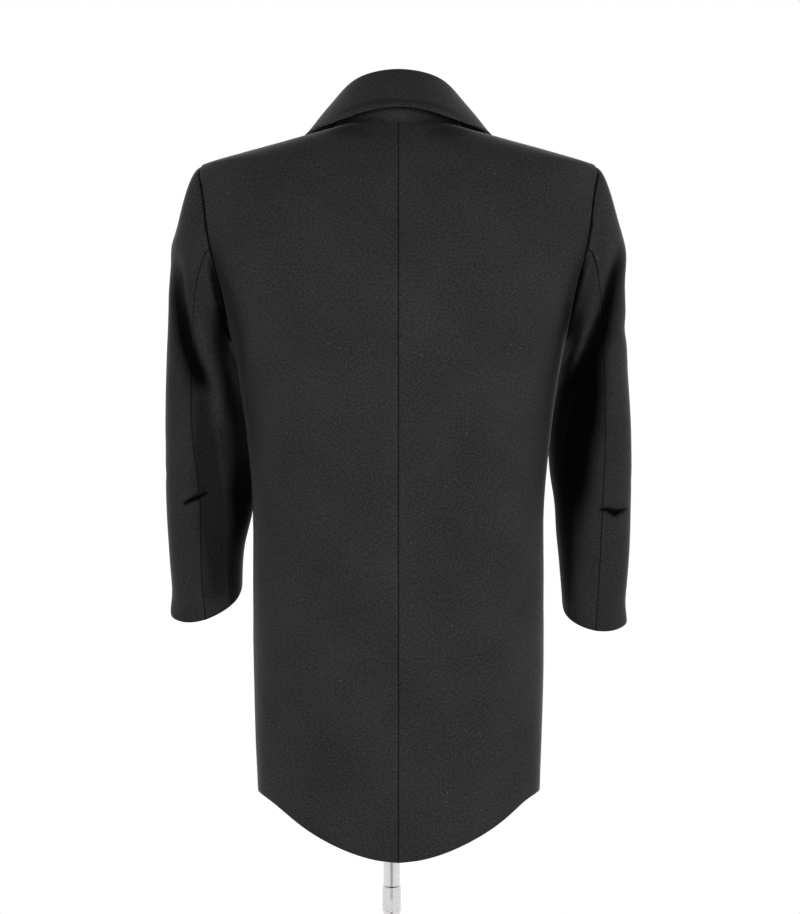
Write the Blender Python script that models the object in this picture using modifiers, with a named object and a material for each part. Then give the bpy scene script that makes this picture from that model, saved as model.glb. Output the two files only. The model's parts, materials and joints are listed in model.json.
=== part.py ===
"""Short wool coat with a turn-down collar, standing on a limbless dress form.

Metres, +Z up, floor at zero. The coat's back faces +Y, its front -Y and its
wearer's left side +X. Every cloth piece is a thin wall laid on a smooth surface
that is worked out from the tables below.
"""
import math
from collections import namedtuple

import bmesh
import bpy
from mathutils import Vector

# Cloth and seams; the steps over which slopes are taken, in degrees or shares
CLOTH = 0.0025
COLLAR_CLOTH = 0.0035
SEAM_GAP = 0.0003
TURN_STEPS = (1.0, 0.005)
EVEN_STEPS = (0.01, 0.02)

# Body: heights above the floor, half widths and depths from the middle
UNDERARM_HEIGHT = 1.185
TIP_HEIGHT = 1.395
TIP_HALF_WIDTH = 0.229
NECK_HEIGHT = 1.436
NECK_HALF_WIDTH = 0.075
HEM_SIDE_HEIGHT = 0.662
HEM_BACK_DIP = 0.0675
HEM_FRONT_DIP = 0.040
HEM_CORNER = 0.38
HEM_CURVE = 1.2
ARMHOLE_BACK_REACH = 15.0
ARMHOLE_FRONT_REACH = 18.0
SKIRT_ROWS = 11
ARMHOLE_ROWS = 12
SHOULDER_ROWS = 5
PANEL_COLUMNS = 10

# Front edges: overlap past the middle, the roll line of the lapels, the neck edge
OVERLAP = 0.025
OVERLAP_RECESS = 0.0036
RECESS_FROM = 0.060
RECESS_TO = 0.030
RECESS_FADE_LOW = 1.235
RECESS_FADE_HIGH = 1.290
BREAK_HEIGHT = 1.160
ROLL_TOP_OUT = 0.060
NECK_EDGE_ANGLE = 100.0
NECK_EDGE_CURVE = 1.5
SEARCH_STEPS = 40
SEARCH_END = 210.0

Section = namedtuple("Section", "height half_width back_depth front_depth squareness")
BODY = [
    Section(0.560, 0.162, 0.130, 0.127, 2.5),
    Section(0.660, 0.165, 0.130, 0.127, 2.5),
    Section(0.765, 0.169, 0.129, 0.126, 2.5),
    Section(0.880, 0.171, 0.126, 0.124, 2.5),
    Section(1.000, 0.171, 0.122, 0.122, 2.5),
    Section(1.070, 0.178, 0.122, 0.125, 2.5),
    Section(1.130, 0.186, 0.125, 0.130, 2.5),
    Section(1.185, 0.196, 0.128, 0.133, 2.5),
    Section(1.240, 0.212, 0.128, 0.132, 2.5),
    Section(1.300, 0.237, 0.123, 0.124, 2.4),
    Section(1.350, 0.242, 0.111, 0.110, 2.3),
    Section(1.395, 0.229, 0.092, 0.090, 2.2),
    Section(1.418, 0.150, 0.079, 0.075, 2.2),
    Section(1.436, 0.075, 0.066, 0.060, 2.2),
    Section(1.450, 0.017, 0.056, 0.050, 2.2),
]

# Soft folds of the skirt, growing from their top down to the hem
SkirtFold = namedtuple("SkirtFold", "side angle half_angle height_out top")
SKIRT_FOLDS = [
    SkirtFold(1, 71.0, 7.0, 0.0030, 0.95),
    SkirtFold(1, 55.0, 8.0, -0.0025, 0.90),
    SkirtFold(1, 118.0, 9.0, 0.0030, 0.90),
    SkirtFold(-1, 76.0, 7.0, 0.0030, 0.95),
    SkirtFold(-1, 60.0, 8.0, -0.0020, 0.90),
    SkirtFold(-1, 125.0, 9.0, 0.0025, 0.90),
]

# Sleeves: rings from the cuff up to the arm's widest part, then the sleeve head
CAP_SHARE = 0.44
CAP_ROWS = 9
ARM_ROWS = 15
CAP_START_PULL = 0.30
CAP_END_PULL = 1.0
CAP_START = Vector((0.99, 0.0, -0.15))
HIND_SEAM_TURN = 90.0
FORE_SEAM_TURN = 225.0
SHARED_EDGE_LIMIT = 0.3
TOP_COLUMNS = 15
UNDER_COLUMNS = 9
SLEEVE_LENGTH = 0.55
SLEEVE_SQUARENESS = 0.06
SLEEVE_RADIUS = 0.055

Ring = namedtuple("Ring", "height out back half_width half_depth front_in outer_lift back_lift")
SLEEVE = {
    1: [
        Ring(0.8795, 0.2285, -0.066, 0.0405, 0.047, 0.000, -0.0135, -0.0225),
        Ring(0.9300, 0.2290, -0.050, 0.0435, 0.051, 0.003, -0.0080, -0.0140),
        Ring(1.0000, 0.2235, -0.032, 0.0506, 0.056, 0.008, 0.0, 0.0),
        Ring(1.0800, 0.2255, -0.022, 0.0455, 0.064, 0.014, 0.0, 0.0),
        Ring(1.1500, 0.2310, -0.014, 0.0400, 0.066, 0.009, 0.0, 0.0),
    ],
    -1: [
        Ring(0.8630, 0.2335, -0.064, 0.0360, 0.046, 0.000, -0.0060, -0.0190),
        Ring(0.9250, 0.2335, -0.050, 0.0410, 0.050, 0.003, -0.0030, -0.0110),
        Ring(0.9900, 0.2300, -0.032, 0.0441, 0.056, 0.008, 0.0, 0.0),
        Ring(1.0800, 0.2260, -0.022, 0.0445, 0.064, 0.014, 0.0, 0.0),
        Ring(1.1500, 0.2290, -0.014, 0.0380, 0.066, 0.009, 0.0, 0.0),
    ],
}

# Large sleeve folds: lines from one turn and share of the length to another
SleeveFold = namedtuple("SleeveFold", "side turn_a share_a turn_b share_b height_out half_width")
SLEEVE_FOLDS = [
    SleeveFold(1, -10.0, 0.24, 12.0, 0.27, 0.0080, 0.034),
    SleeveFold(1, 34.0, 0.26, 95.0, 0.46, -0.0085, 0.026),
    SleeveFold(1, 75.0, 0.18, 155.0, 0.56, 0.0050, 0.026),
    SleeveFold(1, 150.0, 0.74, 95.0, 0.80, -0.0030, 0.022),
    SleeveFold(-1, -10.0, 0.21, 12.0, 0.24, 0.0080, 0.034),
    SleeveFold(-1, 34.0, 0.24, 80.0, 0.32, -0.0080, 0.025),
    SleeveFold(-1, 105.0, 0.42, 130.0, 0.60, -0.0080, 0.028),
    SleeveFold(-1, 85.0, 0.15, 155.0, 0.38, 0.0040, 0.024),
    SleeveFold(-1, 300.0, 0.68, 215.0, 0.75, -0.0050, 0.024),
]

# Lapels in the plane of the front: roll line to outer edge
LAPEL_LIFT = 0.0008
LAPEL_CLOTH = 0.0030
LAPEL_ROWS = 9
LAPEL_COLUMNS = 5
GORGE_HEIGHT = 1.366
LAPEL_TIP_OUT = 0.126
LAPEL_TIP_HEIGHT = 1.322
LAPEL_BELLY = 0.010
LAPEL_FOOT_WIDTH = 0.008
LAPEL_FOOT = {1: 1.245, -1: 1.168}

# Collar: seam, fold and edge points from just past the middle of the back to the front end
COLLAR_STATIONS = 12
LEAF_ROWS = 8
STAND_ROWS = 2
ROLL_RADIUS = 0.0065
ROLL_SHARE = 0.5
STAND_STATIONS = 10

Station = namedtuple(
    "Station", "along seam_x seam_y seam_z fold_x fold_y fold_z edge_x edge_y edge_z")
COLLAR = [
    Station(-0.25, -0.0470, 0.0435, 1.4375, -0.0420, 0.0330, 1.4900, -0.0600, 0.0765, 1.4405),
    Station(0.00, 0.0000, 0.0625, 1.4375, 0.0000, 0.0500, 1.4965, 0.0000, 0.0885, 1.4510),
    Station(0.25, 0.0470, 0.0435, 1.4375, 0.0420, 0.0330, 1.4900, 0.0600, 0.0765, 1.4405),
    Station(0.50, 0.0715, 0.0000, 1.4370, 0.0600, -0.0040, 1.4730, 0.1050, 0.0120, 1.4365),
    Station(0.70, 0.0690, -0.0440, 1.4330, 0.0640, -0.0490, 1.4580, 0.1190, -0.0540, 1.4225),
    Station(0.85, 0.0640, -0.0740, 1.4200, 0.0610, -0.0840, 1.4330, 0.1130, -0.0910, 1.3940),
    Station(1.00, 0.0560, -0.0955, 1.3880, 0.0555, -0.1075, 1.3985, 0.1120, -0.1060, 1.3600),
]

# Buttons, on the middle of the front
BUTTON_RADIUS = 0.0115
BUTTON_THICKNESS = 0.0040
BUTTON_BEVEL = 0.0010
BUTTON_CLEAR = 0.0016
BUTTON_SEGMENTS = 24
BUTTON_HEIGHTS = (1.125, 0.990, 0.855)

# Dress form, pole and base
FORM_SEGMENTS = 24
FORM_STEPS = 2
FORM_SQUARENESS = 2.15
POLE_RADIUS = 0.0095
POLE_SEGMENTS = 24
STAND_ASIDE = 0.008
BASE_RADIUS = 0.180
BASE_THICKNESS = 0.010
BASE_BEVEL = 0.003
BASE_SEGMENTS = 48
RIM_STEPS = 2

FormRing = namedtuple("FormRing", "height half_width back_depth front_depth")
FORM = [
    FormRing(0.760, 0.140, 0.090, 0.085),
    FormRing(0.860, 0.150, 0.104, 0.094),
    FormRing(1.030, 0.118, 0.084, 0.085),
    FormRing(1.170, 0.148, 0.104, 0.110),
    FormRing(1.250, 0.165, 0.109, 0.108),
    FormRing(1.330, 0.184, 0.098, 0.093),
    FormRing(1.380, 0.188, 0.081, 0.076),
    FormRing(1.400, 0.172, 0.071, 0.066),
    FormRing(1.412, 0.125, 0.063, 0.057),
    FormRing(1.424, 0.066, 0.052, 0.050),
    FormRing(1.440, 0.050, 0.046, 0.048),
    FormRing(1.475, 0.047, 0.041, 0.046),
]


def clear_scene():
    """Remove every object that the file starts with."""
    for thing in list(bpy.data.objects):
        bpy.data.objects.remove(thing, do_unlink=True)


def new_collection(name):
    """A collection linked to the scene."""
    collection = bpy.data.collections.new(name)
    bpy.context.scene.collection.children.link(collection)
    return collection


def new_material(name, colour, roughness, metallic):
    """A plain Principled material."""
    material = bpy.data.materials.new(name)
    material.use_nodes = True
    shader = material.node_tree.nodes["Principled BSDF"]
    shader.inputs["Base Color"].default_value = (*colour, 1.0)
    shader.inputs["Roughness"].default_value = roughness
    shader.inputs["Metallic"].default_value = metallic
    return material


def smooth(low, high, value):
    """Zero below low, one above high and an even ease between."""
    share = min(max((value - low) / (high - low), 0.0), 1.0)
    return share * share * (3.0 - 2.0 * share)


def hermite(start, end, start_pull, end_pull, share):
    """A point on the curve that leaves start and reaches end along two pulls."""
    rest = 1.0 - share
    return (start * (1.0 + 2.0 * share) * rest * rest + start_pull * share * rest * rest
            + end * share * share * (3.0 - 2.0 * share) - end_pull * share * share * rest)


def column(table, name, key):
    """One named column of a table at a key, on a smooth curve through its rows."""
    keys = [row[0] for row in table]
    values = [getattr(row, name) for row in table]
    key = min(max(key, keys[0]), keys[-1])
    index = 0
    while index < len(keys) - 2 and key > keys[index + 1]:
        index += 1

    def slope(at):
        low = max(at - 1, 0)
        high = min(at + 1, len(keys) - 1)
        return (values[high] - values[low]) / (keys[high] - keys[low])

    span = keys[index + 1] - keys[index]
    return hermite(values[index], values[index + 1], slope(index) * span,
                   slope(index + 1) * span, (key - keys[index]) / span)


def oval(angle, half_width, depth, squareness):
    """Distance from the middle to a squared oval, angle zero along its depth."""
    across = abs(math.sin(angle)) / half_width
    along = abs(math.cos(angle)) / depth
    return (across ** squareness + along ** squareness) ** (-1.0 / squareness)


def body_half_width(height):
    """Half width of the body; above the shoulder tip it is the shoulder line itself."""
    if height < TIP_HEIGHT:
        return column(BODY, "half_width", height)
    share = (height - TIP_HEIGHT) / (NECK_HEIGHT - TIP_HEIGHT)
    return TIP_HALF_WIDTH + (NECK_HALF_WIDTH - TIP_HALF_WIDTH) * share


def skirt_fold(side, degrees, height):
    """How far the skirt's soft folds push the cloth out at a place."""
    push = 0.0
    for fold in SKIRT_FOLDS:
        if fold.side == side:
            away = (degrees - fold.angle) / fold.half_angle
            push += fold.height_out * math.exp(-away * away) * smooth(fold.top, HEM_SIDE_HEIGHT, height)
    return push


def body_point(side, degrees, height):
    """Outer face of the body: 0 degrees at centre back, 90 at the side, 180 at centre front."""
    angle = math.radians(degrees)
    depth = "back_depth" if math.cos(angle) > 0.0 else "front_depth"
    reach = oval(angle, body_half_width(height), column(BODY, depth, height),
                 column(BODY, "squareness", height))
    reach += skirt_fold(side, degrees, height)
    return Vector((side * reach * math.sin(angle), reach * math.cos(angle), height))


def front_angle(side, out, height):
    """Angle on the front at which the body lies a given distance out from the middle."""
    low = 90.0
    high = SEARCH_END
    for _ in range(SEARCH_STEPS):
        middle = (low + high) / 2.0
        if side * body_point(side, middle, height).x > out:
            low = middle
        else:
            high = middle
    return low


def roll_out(height):
    """Distance from the middle to a front's free edge: the overlap, then the roll line."""
    share = max((height - BREAK_HEIGHT) / (TIP_HEIGHT - BREAK_HEIGHT), 0.0)
    return -OVERLAP + (ROLL_TOP_OUT + OVERLAP) * share


def front_point(side, degrees, height):
    """Outer face of a front; the left one steps in where the right one lies over it."""
    point = body_point(side, degrees, height)
    if side > 0:
        recess = OVERLAP_RECESS * smooth(RECESS_FROM, RECESS_TO, point.x)
        point.y += recess * smooth(RECESS_FADE_HIGH, RECESS_FADE_LOW, height)
    return point


def hem_height(degrees):
    """The curved hem: highest at the side seams, lowest in the middle."""
    turn = math.cos(math.radians(degrees))
    dip = HEM_BACK_DIP if turn > 0.0 else HEM_FRONT_DIP
    share = max(abs(turn) - HEM_CORNER, 0.0) / (1.0 - HEM_CORNER)
    return HEM_SIDE_HEIGHT - dip * share ** HEM_CURVE


Row = namedtuple("Row", "share height back_edge front_edge neck_share")


def body_rows():
    """Rows of the body panels from the hem up past the armhole to the neck."""
    rows = [Row(index / SKIRT_ROWS, UNDERARM_HEIGHT, 90.0, 90.0, 0.0) for index in range(SKIRT_ROWS)]
    for index in range(ARMHOLE_ROWS + 1):
        turn = 180.0 - 180.0 * index / ARMHOLE_ROWS
        height = armhole_height(turn)
        rows.append(Row(1.0, height, armhole_angle(turn), armhole_angle(-turn), 0.0))
    for index in range(1, SHOULDER_ROWS + 1):
        share = index / SHOULDER_ROWS
        rows.append(Row(1.0, TIP_HEIGHT + (NECK_HEIGHT - TIP_HEIGHT) * share, 90.0, 90.0, share))
    return rows


def armhole_height(turn):
    """Height of the armhole seam: turn 0 at the shoulder tip, 180 at the underarm."""
    share = (1.0 + math.cos(math.radians(turn))) / 2.0
    return UNDERARM_HEIGHT + (TIP_HEIGHT - UNDERARM_HEIGHT) * share


def armhole_angle(turn):
    """Angle round the body of the armhole seam, to the back for turns up to 180."""
    bend = math.sin(math.radians(turn))
    reach = ARMHOLE_BACK_REACH if bend > 0.0 else ARMHOLE_FRONT_REACH
    return 90.0 - reach * bend


def row_height(row, degrees):
    """Height of a row at an angle; skirt rows even out from the hem's curve."""
    hem = hem_height(degrees)
    return hem + (row.height - hem) * row.share


def gap_degrees(point):
    """Angle that half a seam gap takes up at a point's distance from the middle."""
    return math.degrees(SEAM_GAP / 2.0 / math.hypot(point.x, point.y))


def back_grid(side):
    """Angles and heights of a back panel."""
    grid = []
    for row in body_rows():
        first = gap_degrees(body_point(side, 0.0, row_height(row, 0.0)))
        last = row.back_edge - gap_degrees(body_point(side, row.back_edge, row.height))
        angles = [first + (last - first) * index / PANEL_COLUMNS for index in range(PANEL_COLUMNS + 1)]
        grid.append([(angle, row_height(row, angle)) for angle in angles])
    return grid


def front_grid(side):
    """Angles and heights of a front panel, cut off at its overlap, roll line and neck edge."""
    grid = []
    tip_edge = front_angle(side, ROLL_TOP_OUT, TIP_HEIGHT)
    for row in body_rows():
        first = row.front_edge + gap_degrees(body_point(side, row.front_edge, row.height))
        height = row_height(row, 180.0)
        if row.neck_share > 0.0:
            last = tip_edge + (NECK_EDGE_ANGLE - tip_edge) * row.neck_share ** NECK_EDGE_CURVE
        else:
            last = front_angle(side, roll_out(height), height)
        angles = [first + (last - first) * index / PANEL_COLUMNS for index in range(PANEL_COLUMNS + 1)]
        grid.append([(angle, row_height(row, angle)) for angle in angles])
    return grid


def sleeve_ring(side, turn, height):
    """A point on the lower sleeve's own ring at a height."""
    table = SLEEVE[side]
    out = math.cos(math.radians(turn))
    back = math.sin(math.radians(turn))
    lift = column(table, "outer_lift", height) * out + column(table, "back_lift", height) * back
    fullness = 1.0 + SLEEVE_SQUARENESS * (2.0 * out * back) ** 2
    across = column(table, "half_width", height) * out * fullness + column(table, "front_in", height) * back
    return Vector((column(table, "out", height) + across,
                   column(table, "back", height) + column(table, "half_depth", height) * back * fullness,
                   height + lift))


def sleeve_fold(side, turn, share):
    """How far the sleeve's large folds push the cloth out at a place."""
    push = 0.0
    for fold in SLEEVE_FOLDS:
        if fold.side != side:
            continue
        line_turn = math.radians(fold.turn_b - fold.turn_a) * SLEEVE_RADIUS
        line_share = (fold.share_b - fold.share_a) * SLEEVE_LENGTH
        at_turn = math.radians((turn - fold.turn_a + 180.0) % 360.0 - 180.0) * SLEEVE_RADIUS
        at_share = (share - fold.share_a) * SLEEVE_LENGTH
        length = math.hypot(line_turn, line_share)
        along = (at_turn * line_turn + at_share * line_share) / length
        away = (at_turn * line_share - at_share * line_turn) / length
        past = max(-along, along - length, 0.0)
        push += fold.height_out * math.exp(-(away * away + past * past) / fold.half_width ** 2)
    return push


def sleeve_point(side, turn, share):
    """Outer face of a sleeve: turn 0 outside, 90 at the back, share 0 at the armhole, 1 at the cuff."""
    table = SLEEVE[side]
    if share < CAP_SHARE:
        seam = body_point(1, armhole_angle((turn + 180.0) % 360.0 - 180.0), armhole_height(turn))
        seam += CAP_START * SEAM_GAP
        arm = sleeve_ring(side, turn, table[-1].height)
        reach = (arm - seam).length
        point = hermite(seam, arm, CAP_START * reach * CAP_START_PULL,
                        Vector((0.0, 0.0, -reach * CAP_END_PULL)), share / CAP_SHARE)
    else:
        drop = (share - CAP_SHARE) / (1.0 - CAP_SHARE)
        point = sleeve_ring(side, turn, table[-1].height + (table[0].height - table[-1].height) * drop)
    push = sleeve_fold(side, turn, share) * smooth(0.0, CAP_SHARE / 2.0, share)
    angle = math.radians(turn)
    point += Vector((math.cos(angle), math.sin(angle), 0.0)) * push
    return Vector((side * point.x, point.y, point.z))


def sleeve_normal(side, turn, share):
    """Inward normal of a sleeve; at the armhole seam it is the body's, so both walls end alike."""
    def sleeve(at_turn, at_share):
        return sleeve_point(side, at_turn, at_share)

    def body(degrees, height):
        return body_point(side, degrees, height)

    for seam in (FORE_SEAM_TURN - 360.0, HIND_SEAM_TURN, FORE_SEAM_TURN):
        if abs(turn - seam) < TURN_STEPS[0]:
            turn = seam
    own = face_normal(sleeve, turn, share, TURN_STEPS)
    if share > 0.0:
        return own
    shared = face_normal(body, armhole_angle(turn), armhole_height(turn), TURN_STEPS)
    return shared if own.dot(shared) > SHARED_EDGE_LIMIT else own


def sleeve_grid(side, first, last, columns):
    """Turns and length shares of a sleeve piece between two of its seams."""
    shares = [CAP_SHARE * index / CAP_ROWS for index in range(CAP_ROWS)]
    shares += [CAP_SHARE + (1.0 - CAP_SHARE) * index / ARM_ROWS for index in range(ARM_ROWS + 1)]
    grid = []
    for share in shares:
        start = first + seam_turn(side, first, share)
        end = last - seam_turn(side, last, share)
        turns = [start + (end - start) * index / columns for index in range(columns + 1)]
        grid.append([(turn, share) for turn in turns])
    return grid


def seam_turn(side, turn, share):
    """Turn that half a seam gap takes up on a sleeve's ring."""
    half = TURN_STEPS[0] / 2.0
    step = sleeve_point(side, turn + half, share) - sleeve_point(side, turn - half, share)
    return SEAM_GAP / 2.0 / step.length


def lapel_point(side, along, across):
    """Outer face of a front under its lapel, from the foot up and from the roll line out."""
    foot = LAPEL_FOOT[side]
    roll_height = foot + (GORGE_HEIGHT - foot) * along
    edge_height = foot + (LAPEL_TIP_HEIGHT - foot) * along
    start = roll_out(roll_height)
    foot_edge = roll_out(foot) + LAPEL_FOOT_WIDTH
    edge = foot_edge + (LAPEL_TIP_OUT - foot_edge) * along
    edge += LAPEL_BELLY * math.sin(math.pi * along)
    out = start + (edge - start) * across
    height = roll_height + (edge_height - roll_height) * across
    return front_point(side, front_angle(side, out, height), height)


def collar_place(along, name):
    """Seam, fold or edge point of the collar; along runs from -1 to 1, left side positive."""
    reach = abs(along)
    return Vector((math.copysign(column(COLLAR, name + "_x", reach), along),
                   column(COLLAR, name + "_y", reach), column(COLLAR, name + "_z", reach)))


def stand_top(along):
    """Where the stand ends, on the neck's side just under the fold."""
    seam = collar_place(along, "seam")
    fold = collar_place(along, "fold")
    return fold + (seam - fold).normalized() * ROLL_RADIUS


def stand_point(along, rise):
    """Neck side of the collar's stand."""
    seam = collar_place(along, "seam")
    top = stand_top(along) - Vector((0.0, 0.0, SEAM_GAP))
    return seam + (top - seam) * rise


def leaf_point(along, fall):
    """Upper face of the collar's leaf: a round roll over the stand, then straight to its free edge."""
    top = stand_top(along)
    reach = collar_place(along, "edge") - top
    rising = (collar_place(along, "fold") - collar_place(along, "seam")).normalized()
    across = (reach - rising * reach.dot(rising)).normalized()
    out = reach.dot(across) - ROLL_RADIUS
    rise = reach.dot(rising)
    straight = math.sqrt(out * out + rise * rise - ROLL_RADIUS * ROLL_RADIUS)
    turn = math.atan2(ROLL_RADIUS * rise + straight * out, straight * rise - ROLL_RADIUS * out)
    if fall < ROLL_SHARE:
        turn *= fall / ROLL_SHARE
        run = 0.0
    else:
        run = straight * (fall - ROLL_SHARE) / (1.0 - ROLL_SHARE)
    sideways = ROLL_RADIUS * (1.0 - math.cos(turn)) + run * math.sin(turn)
    upward = ROLL_RADIUS * math.sin(turn) + run * math.cos(turn)
    return top + across * sideways + rising * upward


def even_grid(first, last, columns, rows):
    """An even grid of two values."""
    return [[(first + (last - first) * column_index / columns, row_index / rows)
             for column_index in range(columns + 1)] for row_index in range(rows + 1)]


def mesh_object(name, points, faces, material, collection):
    """A named object from points and faces, its faces turned outward."""
    mesh = bpy.data.meshes.new(name)
    mesh.from_pydata(points, [], faces)
    shape = bmesh.new()
    shape.from_mesh(mesh)
    bmesh.ops.recalc_face_normals(shape, faces=shape.faces)
    shape.to_mesh(mesh)
    shape.free()
    mesh.materials.append(material)
    thing = bpy.data.objects.new(name, mesh)
    collection.objects.link(thing)
    mesh.shade_smooth()
    return thing


def face_normal(surface, first, second, steps):
    """Unit normal of a surface of two values, from its slopes over two steps."""
    slope_first = surface(first + steps[0], second) - surface(first - steps[0], second)
    slope_second = surface(first, second + steps[1]) - surface(first, second - steps[1])
    return slope_first.cross(slope_second).normalized()


def slopes(surface, steps):
    """A surface's normal as a function of its two values."""
    return lambda first, second: face_normal(surface, first, second, steps)


def cloth_wall(name, surface, grid, thickness, lift, normal_at, material, collection):
    """A cloth piece: one face on the surface moved by lift, the other a thickness away."""
    near = []
    far = []
    for row in grid:
        for first, second in row:
            point = surface(first, second)
            normal = normal_at(first, second)
            near.append(point + normal * lift)
            far.append(point + normal * (lift + thickness))
    wide = len(grid[0])
    tall = len(grid)
    count = wide * tall
    faces = []
    for row in range(tall - 1):
        for place in range(wide - 1):
            corner = row * wide + place
            loop = [corner, corner + 1, corner + wide + 1, corner + wide]
            if (near[loop[0]] - near[loop[2]]).length > (near[loop[1]] - near[loop[3]]).length:
                loop = loop[1:] + loop[:1]
            for half in ((loop[0], loop[1], loop[2]), (loop[0], loop[2], loop[3])):
                faces.append(half)
                faces.append(tuple(count + index for index in reversed(half)))
    rim = list(range(wide))
    rim += [row * wide + wide - 1 for row in range(1, tall)]
    rim += [(tall - 1) * wide + place for place in range(wide - 2, -1, -1)]
    rim += [row * wide for row in range(tall - 2, 0, -1)]
    for index, here in enumerate(rim):
        low, high = sorted((here, rim[(index + 1) % len(rim)]))
        faces.append((low, high, count + high))
        faces.append((low, count + high, count + low))
    return mesh_object(name, near + far, faces, material, collection)


def build_coat(collection, wool, horn):
    """Every cloth piece and the buttons."""
    for side, word in ((1, "left"), (-1, "right")):
        def back(degrees, height, side=side):
            return body_point(side, degrees, height)

        def front(degrees, height, side=side):
            return front_point(side, degrees, height)

        def sleeve(turn, share, side=side):
            return sleeve_point(side, turn, share)

        def sleeve_inward(turn, share, side=side):
            return sleeve_normal(side, turn, share)

        def lapel(along, across, side=side):
            return lapel_point(side, along, across)

        top_grid = sleeve_grid(side, FORE_SEAM_TURN - 360.0, HIND_SEAM_TURN, TOP_COLUMNS)
        under_grid = sleeve_grid(side, HIND_SEAM_TURN, FORE_SEAM_TURN, UNDER_COLUMNS)
        lapel_grid = even_grid(0.0, 1.0, LAPEL_ROWS, LAPEL_COLUMNS)
        cloth_wall("back_" + word, back, back_grid(side), side * CLOTH, 0.0,
                   slopes(back, TURN_STEPS), wool, collection)
        cloth_wall("front_" + word, front, front_grid(side), side * CLOTH, 0.0,
                   slopes(front, TURN_STEPS), wool, collection)
        cloth_wall("sleeve_top_" + word, sleeve, top_grid, side * CLOTH, 0.0,
                   sleeve_inward, wool, collection)
        cloth_wall("sleeve_under_" + word, sleeve, under_grid, side * CLOTH, 0.0,
                   sleeve_inward, wool, collection)
        cloth_wall("lapel_" + word, lapel, lapel_grid, -side * LAPEL_CLOTH, -side * LAPEL_LIFT,
                   slopes(lapel, EVEN_STEPS), wool, collection)
    stand_end = STAND_STATIONS / COLLAR_STATIONS
    cloth_wall("collar_stand", stand_point, even_grid(-stand_end, stand_end, 2 * STAND_STATIONS, STAND_ROWS),
               -COLLAR_CLOTH, 0.0, slopes(stand_point, EVEN_STEPS), wool, collection)
    cloth_wall("collar_leaf", leaf_point, even_grid(-1.0, 1.0, 2 * COLLAR_STATIONS, LEAF_ROWS),
               -COLLAR_CLOTH, 0.0, slopes(leaf_point, EVEN_STEPS), wool, collection)
    for number, height in enumerate(BUTTON_HEIGHTS, start=1):
        build_button("button_%d" % number, height, horn, collection)


def build_button(name, height, horn, collection):
    """A round sewn-on button, flat on the front's middle line."""
    front = body_point(-1, 180.0, height)
    place = front - Vector((0.0, BUTTON_CLEAR + BUTTON_THICKNESS / 2.0, 0.0))
    bpy.ops.mesh.primitive_cylinder_add(vertices=BUTTON_SEGMENTS, radius=BUTTON_RADIUS,
                                        depth=BUTTON_THICKNESS, location=place,
                                        rotation=(math.radians(90.0), 0.0, 0.0))
    finish_primitive(name, BUTTON_BEVEL, horn, collection)


def finish_primitive(name, bevel, material, collection):
    """Name the primitive just added, round its rims and move it to its collection."""
    thing = bpy.context.object
    thing.name = name
    thing.data.materials.append(material)
    rounding = thing.modifiers.new("rounded rim", "BEVEL")
    rounding.width = bevel
    rounding.segments = RIM_STEPS
    rounding.limit_method = "ANGLE"
    thing.data.shade_smooth()
    for other in list(thing.users_collection):
        other.objects.unlink(thing)
    collection.objects.link(thing)


def build_form(collection, cover, chrome):
    """The limbless torso, its pole and its round base."""
    points = []
    faces = []
    bottom = FORM[0].height
    heights = [bottom]
    for low, high in zip(FORM, FORM[1:]):
        heights += [low.height + (high.height - low.height) * step / FORM_STEPS
                    for step in range(1, FORM_STEPS + 1)]
    for height in heights:
        for segment in range(FORM_SEGMENTS):
            angle = 2.0 * math.pi * segment / FORM_SEGMENTS
            depth = "back_depth" if math.cos(angle) > 0.0 else "front_depth"
            reach = oval(angle, column(FORM, "half_width", height), column(FORM, depth, height),
                         FORM_SQUARENESS)
            points.append(Vector((reach * math.sin(angle), reach * math.cos(angle), height)))
    last_row = len(heights) - 1
    for row in range(last_row):
        for segment in range(FORM_SEGMENTS):
            after = (segment + 1) % FORM_SEGMENTS
            low = row * FORM_SEGMENTS
            high = low + FORM_SEGMENTS
            faces.append((low + segment, low + after, high + after, high + segment))
    faces.append(tuple(range(FORM_SEGMENTS)))
    faces.append(tuple(last_row * FORM_SEGMENTS + segment for segment in range(FORM_SEGMENTS)))
    mesh_object("form_torso", points, faces, cover, collection)

    pole_bottom = BASE_THICKNESS + SEAM_GAP
    pole_top = bottom - SEAM_GAP
    bpy.ops.mesh.primitive_cylinder_add(vertices=POLE_SEGMENTS, radius=POLE_RADIUS,
                                        depth=pole_top - pole_bottom,
                                        location=(STAND_ASIDE, 0.0, (pole_top + pole_bottom) / 2.0))
    finish_primitive("form_pole", SEAM_GAP, chrome, collection)
    bpy.ops.mesh.primitive_cylinder_add(vertices=BASE_SEGMENTS, radius=BASE_RADIUS,
                                        depth=BASE_THICKNESS,
                                        location=(STAND_ASIDE, 0.0, BASE_THICKNESS / 2.0))
    finish_primitive("form_base", BASE_BEVEL, chrome, collection)


clear_scene()
coat_collection = new_collection("short coat on a dress form")
wool_cloth = new_material("charcoal wool", (0.030, 0.030, 0.031), 0.90, 0.0)
button_horn = new_material("black horn", (0.012, 0.012, 0.012), 0.40, 0.0)
form_cover = new_material("form cover", (0.62, 0.59, 0.54), 0.85, 0.0)
stand_chrome = new_material("stand chrome", (0.62, 0.62, 0.63), 0.22, 1.0)
build_coat(coat_collection, wool_cloth, button_horn)
build_form(coat_collection, form_cover, stand_chrome)
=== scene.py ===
"""Looks of a short charcoal wool coat on a limbless dress form with a pole and a round base."""
import json
import math
from collections import namedtuple

import bmesh
import bpy
import numpy as np
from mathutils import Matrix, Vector, noise
from mathutils.bvhtree import BVHTree


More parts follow.
